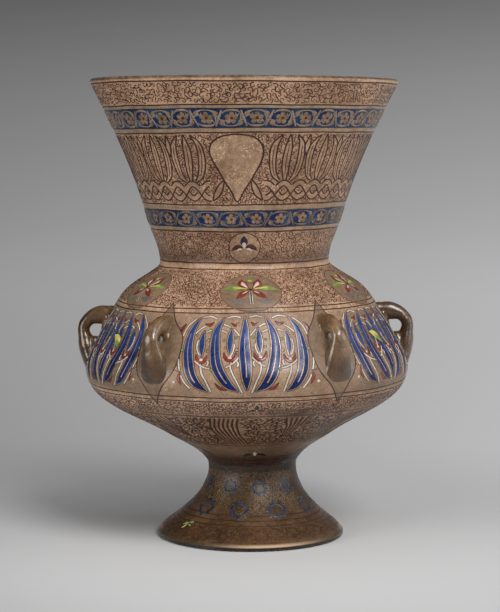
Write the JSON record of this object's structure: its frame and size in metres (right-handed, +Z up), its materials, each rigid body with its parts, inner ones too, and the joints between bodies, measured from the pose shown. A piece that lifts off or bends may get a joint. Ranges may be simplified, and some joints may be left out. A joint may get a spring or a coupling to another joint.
{
  "type": "mosque lamp",
  "caption": "Enamelled glass mosque lamp with a flared neck, round bowl, loop handles and a splayed foot, holding an oil cup with a floating wick.",
  "frame": {"origin": "on the table, at the centre of the foot", "axes": "+Z up along the lamp's axis, -Y towards the side seen in the picture, +X through the eye of handle_1's loop"},
  "size_m": [0.253, 0.2402, 0.34],
  "materials": {
    "enamelled_glass": "gilded and enamelled",
    "handle_glass": "glossy",
    "cup_glass": "clear",
    "cork": "matte",
    "tube_brass": "satin",
    "cotton": "matte"
  },
  "bodies": {
    "lamp": {"vessel": "enamelled_glass", "foot": "enamelled_glass", "handle_1": "handle_glass", "handle_2": "handle_glass", "handle_3": "handle_glass", "handle_4": "handle_glass", "handle_5": "handle_glass", "handle_6": "handle_glass"},
    "cup": {"oil_cup": "cup_glass"},
    "float": {"wick_float": "cork", "wick_tube": "tube_brass"},
    "wick": {"wick": "cotton"}
  },
  "joints": [
    {"name": "cup_lift", "type": "slide", "parent": "lamp", "child": "cup", "axis": [0, 0, 1], "range_m": [0, 0.285]},
    {"name": "float_rise", "type": "slide", "parent": "cup", "child": "float", "axis": [0, 0, 1], "range_m": [0, 0.045]},
    {"name": "wick_feed", "type": "slide", "parent": "float", "child": "wick", "axis": [0, 0, 1], "range_m": [0, 0.01]}
  ]
}
